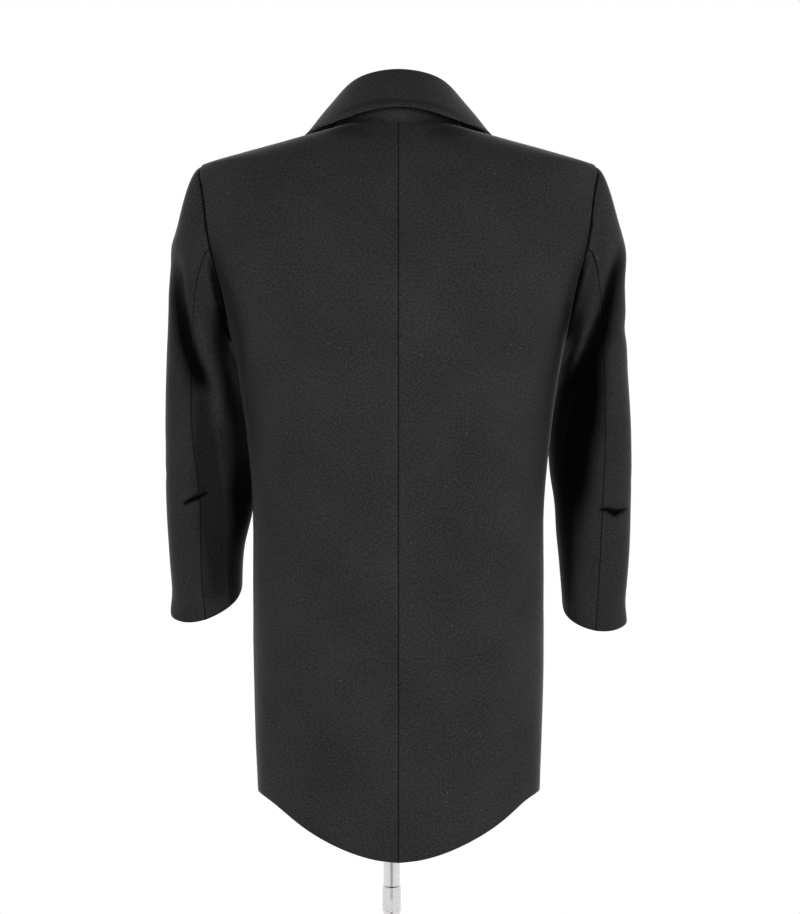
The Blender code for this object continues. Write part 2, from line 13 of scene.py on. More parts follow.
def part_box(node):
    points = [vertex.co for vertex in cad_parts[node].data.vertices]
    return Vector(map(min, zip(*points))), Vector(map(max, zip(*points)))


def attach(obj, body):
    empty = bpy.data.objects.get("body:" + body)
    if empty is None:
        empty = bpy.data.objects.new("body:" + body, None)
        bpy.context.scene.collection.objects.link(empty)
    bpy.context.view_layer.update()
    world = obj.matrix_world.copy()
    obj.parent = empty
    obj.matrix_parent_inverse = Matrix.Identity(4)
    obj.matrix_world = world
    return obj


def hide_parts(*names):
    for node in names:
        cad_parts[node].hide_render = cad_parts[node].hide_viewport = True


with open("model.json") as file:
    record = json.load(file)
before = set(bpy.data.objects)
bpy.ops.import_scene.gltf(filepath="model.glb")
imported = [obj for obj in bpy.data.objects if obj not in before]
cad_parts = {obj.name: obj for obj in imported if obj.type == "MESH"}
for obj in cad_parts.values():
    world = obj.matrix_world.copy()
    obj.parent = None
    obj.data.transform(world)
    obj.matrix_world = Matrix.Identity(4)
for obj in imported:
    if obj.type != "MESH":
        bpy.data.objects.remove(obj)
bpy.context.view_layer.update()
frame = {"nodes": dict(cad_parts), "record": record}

nodes = frame["nodes"]

# Round base plate
# A turned steel plate with a rounded rim and a short hub that holds the pole.
# Brushed bright metal, standing flat on the floor.
BASE_STEPS = 96
BASE_RIM = 0.0035
BASE_BORDER = 0.06
HUB_RADIUS = 0.021
HUB_HEIGHT = 0.016
HUB_FOOT = 0.5
METAL_ANGLE = 40.0
SQUARE_ON = 0.9


class Socket:
    """A shader socket; arithmetic on it adds Math nodes to its own material."""

    def __init__(self, socket):
        self.socket = socket

    def node(self, kind, inputs=None, settings=None, output=0):
        """Add a node of a kind beside this one and give back one of its outputs."""
        tree = self.socket.id_data
        made = tree.nodes.new(kind)
        for name, value in (settings or {}).items():
            setattr(made, name, value)
        for name, value in (inputs or {}).items():
            if isinstance(value, Socket):
                tree.links.new(value.socket, made.inputs[name])
            else:
                made.inputs[name].default_value = value
        return Socket(made.outputs[output])

    def math(self, operation, first, second=0.0):
        """A Math node on two values."""
        return self.node("ShaderNodeMath", {0: first, 1: second}, {"operation": operation})

    def __add__(self, other):
        return self.math("ADD", self, other)

    __radd__ = __add__

    def __sub__(self, other):
        return self.math("SUBTRACT", self, other)

    def __rsub__(self, other):
        return self.math("SUBTRACT", other, self)

    def __mul__(self, other):
        return self.math("MULTIPLY", self, other)

    __rmul__ = __mul__

    def __gt__(self, other):
        return self.math("GREATER_THAN", self, other)

    def __lt__(self, other):
        return self.math("LESS_THAN", self, other)

    def blend(self, dark, light):
        """A colour between two, by this value."""
        return self.node("ShaderNodeMix", {"Factor": self, 6: dark, 7: light},
                         {"data_type": "RGBA"}, output=2)

    def grain(self, scale, detail=2.0):
        """Noise on this socket's coordinates, stretched by a scale on each axis."""
        place = self.node("ShaderNodeMapping", {"Vector": self, "Scale": scale})
        return self.node("ShaderNodeTexNoise", {"Vector": place, "Scale": 1.0, "Detail": detail})


def new_finish(name, constants):
    """A Principled material with its constant values, and its shader node."""
    material = bpy.data.materials.new(name)
    material.use_nodes = True
    shader = material.node_tree.nodes["Principled BSDF"]
    for socket, value in constants.items():
        shader.inputs[socket].default_value = value
    return material, shader


def feed(shader, **links):
    """Link values to a shader's sockets, named with underscores for spaces."""
    for name, value in links.items():
        target = shader.inputs[name.replace("_", " ")]
        shader.id_data.links.new(value.socket, target)


def brushed_metal(name, colour, worn, along, across):
    """Bright metal with fine brush lines and soft clouding."""
    material, shader = new_finish(name, {"Metallic": 1.0})
    place = Socket(shader.outputs[0]).node("ShaderNodeTexCoord", output="Object")
    lines = place.grain(across, 3.0)
    cloud = place.grain(along, 2.0)
    feed(shader,
         Base_Color=cloud.blend(worn, colour),
         Roughness=0.16 + 0.14 * lines + 0.10 * cloud,
         Normal=lines.node("ShaderNodeBump", {"Height": lines, "Strength": 0.12, "Distance": 0.0002}))
    return material


def only(thing):
    """Select one object alone and make it active."""
    bpy.ops.object.select_all(action="DESELECT")
    thing.select_set(True)
    bpy.context.view_layer.objects.active = thing


def settle(thing, name, material):
    """Name a finished piece, give it its finish and put its place into its mesh."""
    only(thing)
    thing.name = name
    thing.data.name = name
    bpy.ops.object.transform_apply(location=True, rotation=True, scale=True)
    thing.data.materials.clear()
    thing.data.materials.append(material)


def keep_with(piece, slot, *replaced):
    """Fix a piece to the one rigid body and hide the CAD parts it stands in for."""
    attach(piece, "root")
    if replaced:
        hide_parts(*replaced)


def pick_faces(thing, wanted):
    """Select the faces of a mesh for which a test holds, in face mode."""
    bpy.ops.object.mode_set(mode="EDIT")
    bpy.ops.mesh.select_mode(type="FACE")
    bpy.ops.mesh.select_all(action="DESELECT")
    bpy.ops.object.mode_set(mode="OBJECT")
    for face in thing.data.polygons:
        face.select = wanted(face)
    bpy.ops.object.mode_set(mode="EDIT")


def round_edges(thing, width, steps, angle):
    """Round every edge sharper than an angle."""
    only(thing)
    rounding = thing.modifiers.new("rounding", "BEVEL")
    rounding.width = width
    rounding.segments = steps
    rounding.limit_method = "ANGLE"
    rounding.angle_limit = math.radians(angle)
    bpy.ops.object.modifier_apply(modifier=rounding.name)


base_low, base_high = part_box("form_base")
base_centre = (base_low + base_high) / 2.0
base_radius = (base_high.x - base_low.x) / 2.0
base_depth = base_high.z - base_low.z

bpy.ops.object.select_all(action="DESELECT")
bpy.ops.mesh.primitive_cylinder_add(vertices=BASE_STEPS, radius=base_radius, depth=base_depth,
                                    location=base_centre)
base_plate = bpy.context.object
pick_faces(base_plate, lambda face: face.normal.z > SQUARE_ON)
bpy.ops.mesh.inset(thickness=base_radius * BASE_BORDER)
bpy.ops.mesh.inset(thickness=base_radius * (1.0 - BASE_BORDER) - HUB_RADIUS * (1.0 + HUB_FOOT))
bpy.ops.mesh.inset(thickness=HUB_RADIUS * HUB_FOOT)
bpy.ops.mesh.extrude_region_move(TRANSFORM_OT_translate={"value": (0.0, 0.0, HUB_HEIGHT)})
bpy.ops.object.mode_set(mode="OBJECT")
round_edges(base_plate, BASE_RIM, 4, METAL_ANGLE)
bpy.ops.object.shade_smooth_by_angle(angle=math.radians(METAL_ANGLE))
base_metal = brushed_metal("base_metal", (0.70, 0.70, 0.71, 1.0), (0.55, 0.55, 0.56, 1.0),
                           (6.0, 6.0, 6.0), (30.0, 900.0, 30.0))
settle(base_plate, "base_plate", base_metal)
keep_with(base_plate, "stand_metal", "form_base")

# Pole
# A drawn steel tube, bright plated, set into the base's hub and up into the torso.
# A knurled ring just under the coat's hem clamps its height.
POLE_STEPS = 64
POLE_ROUND = 0.0006
RING_HEIGHT = 0.531
RING_RADIUS = 0.0105
RING_DEPTH = 0.030
RING_ROUND = 0.0010
RING_RIDGE = 0.0002
UPRIGHT = 0.1

pole_low, pole_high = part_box("form_pole")
pole_centre = (pole_low + pole_high) / 2.0
pole_radius = (pole_high.x - pole_low.x) / 2.0

bpy.ops.object.select_all(action="DESELECT")
bpy.ops.mesh.primitive_cylinder_add(vertices=POLE_STEPS, radius=pole_radius,
                                    depth=pole_high.z - pole_low.z, location=pole_centre)
pole = bpy.context.object
round_edges(pole, POLE_ROUND, 2, METAL_ANGLE)
bpy.ops.object.shade_smooth_by_angle(angle=math.radians(METAL_ANGLE))
pole_metal = brushed_metal("pole_metal", (0.86, 0.86, 0.87, 1.0), (0.78, 0.78, 0.79, 1.0),
                           (12.0, 12.0, 3.0), (700.0, 700.0, 12.0))
settle(pole, "pole", pole_metal)
keep_with(pole, "stand_metal", "form_pole")

bpy.ops.object.select_all(action="DESELECT")
bpy.ops.mesh.primitive_cylinder_add(vertices=POLE_STEPS, radius=RING_RADIUS, depth=RING_DEPTH,
                                    location=(pole_centre.x, pole_centre.y, RING_HEIGHT))
clamp_ring = bpy.context.object
round_edges(clamp_ring, RING_ROUND, 3, METAL_ANGLE)
pick_faces(clamp_ring, lambda face: abs(face.normal.z) < UPRIGHT and face.index % 2 == 0)
bpy.ops.mesh.inset(thickness=RING_RIDGE, use_individual=True)
ring_swell = 1.0 + RING_RIDGE / RING_RADIUS
bpy.ops.transform.resize(value=(ring_swell, ring_swell, 1.0),
                         center_override=(pole_centre.x, pole_centre.y, RING_HEIGHT))
bpy.ops.object.mode_set(mode="OBJECT")
bpy.ops.object.shade_smooth_by_angle(angle=math.radians(METAL_ANGLE))
settle(clamp_ring, "clamp_ring", pole_metal)
keep_with(clamp_ring, "stand_metal")

# Torso
# A moulded shell covered in plain cotton, sewn with a seam down the middle of front and
# back; the neck is closed with a flat turned cap.
COVER_SEAM = 0.0009
TORSO_LEVELS = 2
TORSO_ANGLE = 50.0
CAP_RADIUS = 0.043
CAP_DEPTH = 0.006
CAP_STEPS = 64
CAP_BACK = 0.002
CAP_RIM = 0.25
CAP_DISH = 0.001
CAP_ROUND = 0.0012
MERGE = 0.00001
PAIRING = 1.5


def node_copy(name, node):
    """A merged copy of a CAD node's mesh as a new object."""
    copy = bpy.data.objects.new(name, nodes[node].data.copy())
    bpy.context.scene.collection.objects.link(copy)
    only(copy)
    bpy.ops.object.mode_set(mode="EDIT")
    bpy.ops.mesh.select_all(action="SELECT")
    bpy.ops.mesh.remove_doubles(threshold=MERGE)
    bpy.ops.object.mode_set(mode="OBJECT")
    return copy


def pair_triangles(thing):
    """Join the triangles of a mesh into a grid of four-sided faces."""
    only(thing)
    bpy.ops.object.mode_set(mode="EDIT")
    bpy.ops.mesh.select_all(action="SELECT")
    bpy.ops.mesh.tris_convert_to_quads(face_threshold=math.pi, shape_threshold=math.pi,
                                       topology_influence=PAIRING)
    bpy.ops.object.mode_set(mode="OBJECT")


def smoothed(thing, levels):
    """Refine a mesh with a subdivision surface that keeps its corners."""
    only(thing)
    refine = thing.modifiers.new("refine", "SUBSURF")
    refine.levels = levels
    refine.render_levels = levels
    refine.boundary_smooth = "PRESERVE_CORNERS"
    bpy.ops.object.modifier_apply(modifier=refine.name)


torso = node_copy("torso", "form_torso")
pair_triangles(torso)
smoothed(torso, TORSO_LEVELS)
bpy.ops.object.shade_smooth_by_angle(angle=math.radians(TORSO_ANGLE))
cover, cover_shader = new_finish("cotton_cover", {"Specular IOR Level": 0.2, "Sheen Weight": 0.15})
cover_place = Socket(cover_shader.outputs[0]).node("ShaderNodeTexCoord", output="Object")
cover_axes = cover_place.node("ShaderNodeSeparateXYZ", {"Vector": cover_place})
cover_across = Socket(cover_axes.socket.node.outputs["X"])
cover_warp = cover_place.grain((900.0, 900.0, 160.0))
cover_weft = cover_place.grain((160.0, 160.0, 900.0))
cover_weave = 0.5 * cover_warp + 0.5 * cover_weft
cover_cloud = cover_place.grain((9.0, 9.0, 9.0), 3.0)
cover_seam = cover_across.math("ABSOLUTE", cover_across) < COVER_SEAM
cover_light = 0.55 * cover_cloud + 0.45 * cover_weave
cover_colour = cover_light.blend((0.22, 0.20, 0.175, 1.0), (0.34, 0.315, 0.275, 1.0))
feed(cover_shader,
     Base_Color=cover_seam.blend(cover_colour, (0.13, 0.12, 0.10, 1.0)),
     Roughness=0.80 + 0.15 * cover_weave,
     Normal=cover_weave.node("ShaderNodeBump", {"Height": cover_weave - cover_seam, "Strength": 0.3,
                                                "Distance": 0.0004}))
settle(torso, "torso", cover)
keep_with(torso, "form_cover", "form_torso")

torso_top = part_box("form_torso")[1].z
bpy.ops.object.select_all(action="DESELECT")
bpy.ops.mesh.primitive_cylinder_add(vertices=CAP_STEPS, radius=CAP_RADIUS, depth=CAP_DEPTH,
                                    location=(0.0, CAP_BACK, torso_top + CAP_DEPTH / 2.0))
neck_cap = bpy.context.object
pick_faces(neck_cap, lambda face: face.normal.z > SQUARE_ON)
bpy.ops.mesh.inset(thickness=CAP_RADIUS * CAP_RIM)
bpy.ops.mesh.extrude_region_move(TRANSFORM_OT_translate={"value": (0.0, 0.0, -CAP_DISH)})
bpy.ops.object.mode_set(mode="OBJECT")
round_edges(neck_cap, CAP_ROUND, 3, METAL_ANGLE)
bpy.ops.object.shade_smooth_by_angle(angle=math.radians(METAL_ANGLE))
settle(neck_cap, "neck_cap", pole_metal)
keep_with(neck_cap, "stand_metal")

# Back panels
# The two halves of the back, cut from charcoal wool coating and sewn together down the
# middle; the hem is turned up and pressed in a deep curve.
CLOTH = 0.0025
EDGE_BANDS = (0.0004, 0.0005)
EDGE_ROLL = (-0.0011, -0.0004, -0.0001)
EDGE_REACH = 0.0002
CROSSED_ANGLE = 35.0
EASE_TURNS = 30
EASE_SHARE = 0.5
SHEET_ANGLE = 50.0
SHEET_FACING = 0.8
SHEET_LEVELS = 3
CLOTH_ANGLE = 60.0
WAVES = ((0.085, 0.0005), (0.030, 0.00018))
FACING_FADE = (-0.35, 0.10)
SOFT_TURN = 1.5
PINCH_WIDTH = 0.0020
PINCH_REACH = 0.016
PINCH_FACING = 0.1
PINCH_CUTS = 2
# The next values set painted shade: dark lines at seams, darkness where other cloth lies close, and the
# dark core of deep creases.
PAINTED_SEAM_SHADE = (0.0010, 0.0007, 0.65)
TOUCH_REACH = 0.080
TOUCH_GAP = 0.035
PAINTED_TOUCH_SHADE = 0.25
TOUCH_AHEAD = 0.2
TOUCH_TURN = 0.6
PAINTED_SHADE_CORE = 1.7

# A crease's last value is painted shade: how dark its deepest part is painted.
Crease = namedtuple("Crease", "seen path depth width soft shade", defaults=(1.0, 0.0))
Cut = namedtuple("Cut", "width length share")
VIEWS = {"back": Vector((0.0, 1.0, 0.0)), "front": Vector((0.0, -1.0, 0.0)),
         "left": Vector((1.0, 0.0, 0.0)), "right": Vector((-1.0, 0.0, 0.0)),
         "above": Vector((0.0, 0.0, 1.0))}

wool, wool_shader = new_finish("charcoal_wool", {
    "Specular IOR Level": 0.12, "Sheen Weight": 0.06, "Sheen Roughness": 0.35})
wool_place = Socket(wool_shader.outputs[0]).node("ShaderNodeTexCoord", output="UV")
warp = wool_place.grain((1150.0, 240.0, 1.0))
weft = wool_place.grain((240.0, 1150.0, 1.0))
threads = 0.5 * warp + 0.5 * weft
fuzz = wool_place.grain((420.0, 420.0, 1.0), 4.0)
cloud = wool_place.grain((11.0, 11.0, 1.0), 3.0)
fleck_cells = {"Vector": wool_place, "Scale": 75.0, "Randomness": 1.0}
fleck_cell = wool_place.node("ShaderNodeTexVoronoi", fleck_cells)
fleck_kind = wool_place.node("ShaderNodeTexVoronoi", fleck_cells, output="Color")
fleck_pick = Socket(fleck_kind.node("ShaderNodeSeparateColor", {"Color": fleck_kind}).socket)
fleck = (fleck_cell < 0.055) * (fleck_pick > 0.72)
wool_light = 0.5 + 1.1 * (threads - 0.5) + 1.3 * (fuzz - 0.5) + 0.45 * (cloud - 0.5)
wool_colour = wool_light.blend((0.013, 0.013, 0.0135, 1.0), (0.044, 0.044, 0.045, 1.0))
# This attribute holds painted shade: it darkens the wool toward near black at seams, in deep folds and
# where other cloth lies close.
wool_painted_shade = wool_place.node("ShaderNodeAttribute", settings={"attribute_name": "shade"}, output="Fac")
flecked = (0.7 * fleck).blend(wool_colour, (0.085, 0.085, 0.083, 1.0))
feed(wool_shader,
     Base_Color=wool_painted_shade.blend(flecked, (0.0006, 0.0006, 0.0006, 1.0)),
     Roughness=0.88 + 0.12 * fuzz,
     Normal=threads.node("ShaderNodeBump", {"Height": threads + 0.6 * fuzz, "Strength": 0.35,
                                            "Distance": 0.0005}))


def outer_sheet(name, node, toward):
    """The outer face of a cloth wall alone, as an open sheet."""
    sheet = node_copy(name, node)
    facing = [face for face in sheet.data.polygons if face.normal.dot(toward) > SHEET_FACING]
    seed = max(facing, key=lambda face: face.center.dot(toward)).index
    pick_faces(sheet, lambda face: face.index == seed)
    bpy.ops.mesh.faces_select_linked_flat(sharpness=math.radians(SHEET_ANGLE))
    bpy.ops.mesh.select_all(action="INVERT")
    bpy.ops.mesh.delete(type="FACE")
    bpy.ops.object.mode_set(mode="OBJECT")
    pair_triangles(sheet)
    return sheet


def flat_pattern(sheet):
    """Lay a sheet out flat as its cutting pattern, in metres with the grain upright."""
    only(sheet)
    bpy.ops.object.mode_set(mode="EDIT")
    bpy.ops.mesh.select_all(action="SELECT")
    bpy.ops.uv.unwrap(method="ANGLE_BASED", margin=0.0)
    bpy.ops.object.mode_set(mode="OBJECT")
    mesh = sheet.data
    layer = mesh.uv_layers.active.data
    flat = np.zeros(len(layer) * 2)
    layer.foreach_get("uv", flat)
    flat = flat.reshape(-1, 2)
    heights = np.array([mesh.vertices[loop.vertex_index].co.z for loop in mesh.loops])
    real_area = sum(face.area for face in mesh.polygons)
    flat_area = 0.0
    for face in mesh.polygons:
        corners = flat[list(face.loop_indices)]
        after = np.roll(corners, -1, axis=0)
        flat_area += abs(np.sum(corners[:, 0] * after[:, 1] - after[:, 0] * corners[:, 1])) / 2.0
    middle = flat - flat.mean(axis=0)
    upward = middle.T @ (heights - heights.mean())
    upward /= np.linalg.norm(upward)
    turned = np.stack([middle @ np.array([upward[1], -upward[0]]), middle @ upward], axis=1)
    turned *= math.sqrt(real_area / flat_area)
    layer.foreach_set("uv", turned.ravel())


def other_cloth(node):
    """A search tree of the walls of all the other pieces of the coat."""
    corners = []
    faces = []
    for row in frame["record"]["subparts"]:
        if row["material_slot"] != "wool" or row["node"] == node:
            continue
        mesh = nodes[row["node"]].data
        start = len(corners)
        corners.extend(vertex.co.copy() for vertex in mesh.vertices)
        faces.extend([start + corner for corner in face.vertices] for face in mesh.polygons)
    return BVHTree.FromPolygons(corners, faces)


def painted_seam_and_touch_shade(points, normals, others, painted_contact_shade):
    """Painted shade: how much darker the cloth is painted where a piece runs into a seam or lies against
    another piece.
    """
    reach, fade, depth = PAINTED_SEAM_SHADE
    shade = np.zeros(len(points))
    for index in range(len(points)):
        point = Vector(points[index])
        place, _, _, gap = others.find_nearest(point, TOUCH_REACH)
        if place is None:
            continue
        ahead = (place - point).dot(Vector(normals[index])) / max(gap, 1e-6)
        # Painted shade in the seam groove, and painted contact shade where other cloth lies in front.
        beside = depth * min(max((reach - gap) / fade, 0.0), 1.0)
        turned = min(max((ahead - TOUCH_AHEAD) / TOUCH_TURN, 0.0), 1.0)
        painted_shade_against = painted_contact_shade * math.exp(-(gap / TOUCH_GAP) ** 2) * turned
        shade[index] = max(beside, painted_shade_against)
    return shade


def crease_push(points, normals, crease):
    """How far one crease moves each point of a sheet toward the side it is seen from."""
    view = np.array(VIEWS[crease.seen])
    across = points[:, 1] if abs(view[0]) > 0.5 else points[:, 0]
    place = np.stack([across, points[:, 2]], axis=1)
    facing = np.clip((normals @ view - FACING_FADE[0]) / (FACING_FADE[1] - FACING_FADE[0]), 0.0, 1.0)
    best = np.full(len(points), np.inf)
    push = np.zeros(len(points))
    for step in range(len(crease.path) - 1):
        start = np.array(crease.path[step])
        run = np.array(crease.path[step + 1]) - start
        share = np.clip((place - start) @ run / (run @ run), 0.0, 1.0)
        offset = place - start - share[:, None] * run
        away = np.linalg.norm(offset, axis=1) + 1e-9
        lower = np.array([run[1], -run[0]]) / np.linalg.norm(run)
        lower *= -np.sign(lower[1])
        below = np.clip(0.5 + SOFT_TURN * (offset @ lower) / away, 0.0, 1.0)
        width = crease.width[step] + (crease.width[step + 1] - crease.width[step]) * share
        depth = crease.depth[step] + (crease.depth[step + 1] - crease.depth[step]) * share
        reach = away / (width * (1.0 + (crease.soft - 1.0) * below))
        push = np.where(reach < best, depth * np.exp(-reach ** 2), push)
        best = np.minimum(reach, best)
    return push * facing * facing * (3.0 - 2.0 * facing)


def refine_pinches(sheet, creases):
    """Divide the faces round the sharpest creases finely enough to carry them."""
    for crease in creases:
        if min(crease.width) > PINCH_WIDTH:
            continue
        view = VIEWS[crease.seen]
        flat = [Vector((place[0], place[1])) for place in crease.path]

        def near(face, view=view, flat=flat):
            spot = Vector((face.center.y if abs(view.x) > 0.5 else face.center.x, face.center.z))
            reach = min((spot - place).length for place in flat)
            return face.normal.dot(view) > PINCH_FACING and reach < PINCH_REACH

        pick_faces(sheet, near)
        if any(face.select for face in sheet.data.polygons):
            bpy.ops.mesh.subdivide(number_cuts=PINCH_CUTS, smoothness=0.0)
        bpy.ops.object.mode_set(mode="OBJECT")


def ease_edges(sheet):
    """Spread the rows along an edge again where a band ran past the rows behind it."""
    shape = bmesh.new()
    shape.from_mesh(sheet.data)
    for turn in range(EASE_TURNS):
        shape.normal_update()
        crossed = set()
        for edge in shape.edges:
            if edge.is_manifold and edge.calc_face_angle() > math.radians(CROSSED_ANGLE):
                crossed.update(edge.verts)
        if not crossed:
            break
        beside = {link.other_vert(vertex) for vertex in crossed for link in vertex.link_edges}
        inner = [vertex for vertex in crossed | beside if not vertex.is_boundary]
        bmesh.ops.smooth_vert(shape, verts=inner, factor=EASE_SHARE, use_axis_x=True, use_axis_y=True,
                              use_axis_z=True)
    shape.to_mesh(sheet.data)
    shape.free()


def shape_sheet(sheet, creases, edge_reach, others, painted_contact_shade):
    """Roll a sheet's edges in, press its creases, give it a faint unevenness and paint shade into it at
    seams, in deep creases and where other cloth lies close.
    """
    mesh = sheet.data
    shape = bmesh.new()
    shape.from_mesh(mesh)
    rings = np.zeros(len(shape.verts))
    reach = np.zeros((len(shape.verts), 3))
    edge = {vertex for vertex in shape.verts if vertex.is_boundary}
    for vertex in edge:
        inner = [link.other_vert(vertex) for link in vertex.link_edges if not link.is_boundary]
        for other in inner:
            reach[vertex.index] += (vertex.co - other.co).normalized() * edge_reach / len(inner)
    seen = set(edge)
    for roll in EDGE_ROLL:
        for vertex in edge:
            rings[vertex.index] = roll
        edge = {link.other_vert(vertex) for vertex in edge for link in vertex.link_edges} - seen
        seen |= edge
    shape.free()
    count = len(mesh.vertices)
    points = np.zeros(count * 3)
    mesh.vertices.foreach_get("co", points)
    points = points.reshape(-1, 3)
    normals = np.array([vertex.normal for vertex in mesh.vertices])
    push = rings
    for length, height in WAVES:
        push = push + height * np.array([noise.noise(Vector(point) / length) for point in points])
    shaped = points + reach + normals * push[:, None]
    # light is what is left of the cloth's colour after painted shade at seams and where other cloth lies
    # close.
    light = 1.0 - painted_seam_and_touch_shade(points, normals, others, painted_contact_shade)
    for crease in creases:
        moved = crease_push(points, normals, crease)
        shaped += moved[:, None] * np.array(VIEWS[crease.seen])
        # Each crease's shade value paints shade into its deepest part.
        light *= 1.0 - crease.shade * np.clip(-PAINTED_SHADE_CORE * moved / max(map(abs, crease.depth)), 0.0, 1.0)
    mesh.vertices.foreach_set("co", shaped.ravel())
    mesh.attributes.new("shade", "FLOAT", "POINT").data.foreach_set("value", 1.0 - light)
    mesh.update()


def cloth_piece(name, node, toward, levels, creases, thickness, edge_reach=EDGE_REACH,
                painted_contact_shade=PAINTED_TOUCH_SHADE):
    """A cut and sewn piece of cloth: a shaped sheet with its real thickness and painted shade in its
    colour.
    """
    sheet = outer_sheet(name, node, toward)
    flat_pattern(sheet)
    smoothed(sheet, levels)
    bpy.ops.object.mode_set(mode="EDIT")
    bpy.ops.mesh.select_all(action="SELECT")
    for band in EDGE_BANDS:
        bpy.ops.mesh.inset(thickness=band, use_boundary=True, use_even_offset=False)
    bpy.ops.object.mode_set(mode="OBJECT")
    ease_edges(sheet)
    refine_pinches(sheet, creases)
    shape_sheet(sheet, creases, edge_reach, other_cloth(node), painted_contact_shade)
    wall = sheet.modifiers.new("cloth", "SOLIDIFY")
    wall.thickness = thickness
    wall.offset = -1.0
    bpy.ops.object.modifier_apply(modifier=wall.name)
    bpy.ops.object.shade_smooth_by_angle(angle=math.radians(CLOTH_ANGLE))
    settle(sheet, name, wool)
    keep_with(sheet, "wool", node)


SKIRT_CREASES = {
    "left": [
        Crease("back", ((0.166, 0.800), (0.150, 0.750), (0.136, 0.705)), (0.0010, 0.0022, 0.0008),
               (0.006, 0.007, 0.008)),
        Crease("back", ((0.150, 0.800), (0.138, 0.755), (0.124, 0.715)), (-0.0005, -0.0016, -0.0005),
               (0.007, 0.008, 0.008)),
        Crease("back", ((0.147, 0.900), (0.146, 0.790)), (0.0006, 0.0016), (0.010, 0.010)),
        Crease("back", ((0.088, 0.900), (0.086, 0.780), (0.082, 0.670)), (-0.0004, -0.0016, -0.0012),
               (0.018, 0.020, 0.020)),
    ],
    "right": [
        Crease("back", ((-0.149, 0.900), (-0.149, 0.780)), (0.0008, 0.0016), (0.009, 0.009)),
        Crease("back", ((-0.166, 0.960), (-0.167, 0.830)), (-0.0012, -0.0020), (0.010, 0.010)),
        Crease("back", ((-0.160, 0.770), (-0.150, 0.720)), (0.0012, 0.0006), (0.007, 0.008)),
        # Painted shade on the back's edge beside the right sleeve, with only a faint dent.
        Crease("back", ((-0.197, 1.225), (-0.193, 1.190), (-0.186, 1.130), (-0.180, 1.075)),
               (-0.0003, -0.0010, -0.0010, -0.0003), (0.004, 0.005, 0.005, 0.004), 1.0, 0.85),
    ],
}
for word in ("left", "right"):
    cloth_piece("wool_back_" + word, "back_" + word, VIEWS["back"], SHEET_LEVELS, SKIRT_CREASES[word],
                CLOTH)

# Front panels
# The two fronts, the right one lapping over the left and buttoned through; free edges are
# turned and pressed, and each front runs up into its lapel.
FRONT_CREASES = {
    "left": [
        Crease("front", ((0.120, 0.860), (0.128, 0.740), (0.130, 0.660)), (-0.0004, -0.0016, -0.0014),
               (0.014, 0.016, 0.018)),
        Crease("front", ((0.085, 0.880), (0.092, 0.760), (0.096, 0.650)), (0.0004, 0.0014, 0.0012),
               (0.014, 0.016, 0.018)),
        Crease("front", ((0.150, 1.180), (0.120, 1.140), (0.090, 1.120)), (-0.0016, -0.0012, -0.0003),
               (0.012, 0.012, 0.014)),
    ],
    "right": [
        Crease("front", ((-0.110, 0.860), (-0.122, 0.740), (-0.126, 0.660)), (-0.0004, -0.0018, -0.0014),
               (0.014, 0.016, 0.018)),
        Crease("front", ((-0.070, 0.850), (-0.074, 0.740), (-0.076, 0.650)), (0.0004, 0.0012, 0.0014),
               (0.014, 0.018, 0.018)),
        Crease("front", ((-0.150, 1.170), (-0.112, 1.128), (-0.080, 1.112)), (-0.0018, -0.0012, -0.0003),
               (0.012, 0.012, 0.014)),
        Crease("front", ((-0.100, 1.010), (-0.050, 0.995), (-0.016, 0.992)), (-0.0002, -0.0010, -0.0012),
               (0.010, 0.009, 0.007)),
    ],
}
for word in ("left", "right"):
    cloth_piece("wool_front_" + word, "front_" + word, VIEWS["front"], SHEET_LEVELS, FRONT_CREASES[word],
                CLOTH)
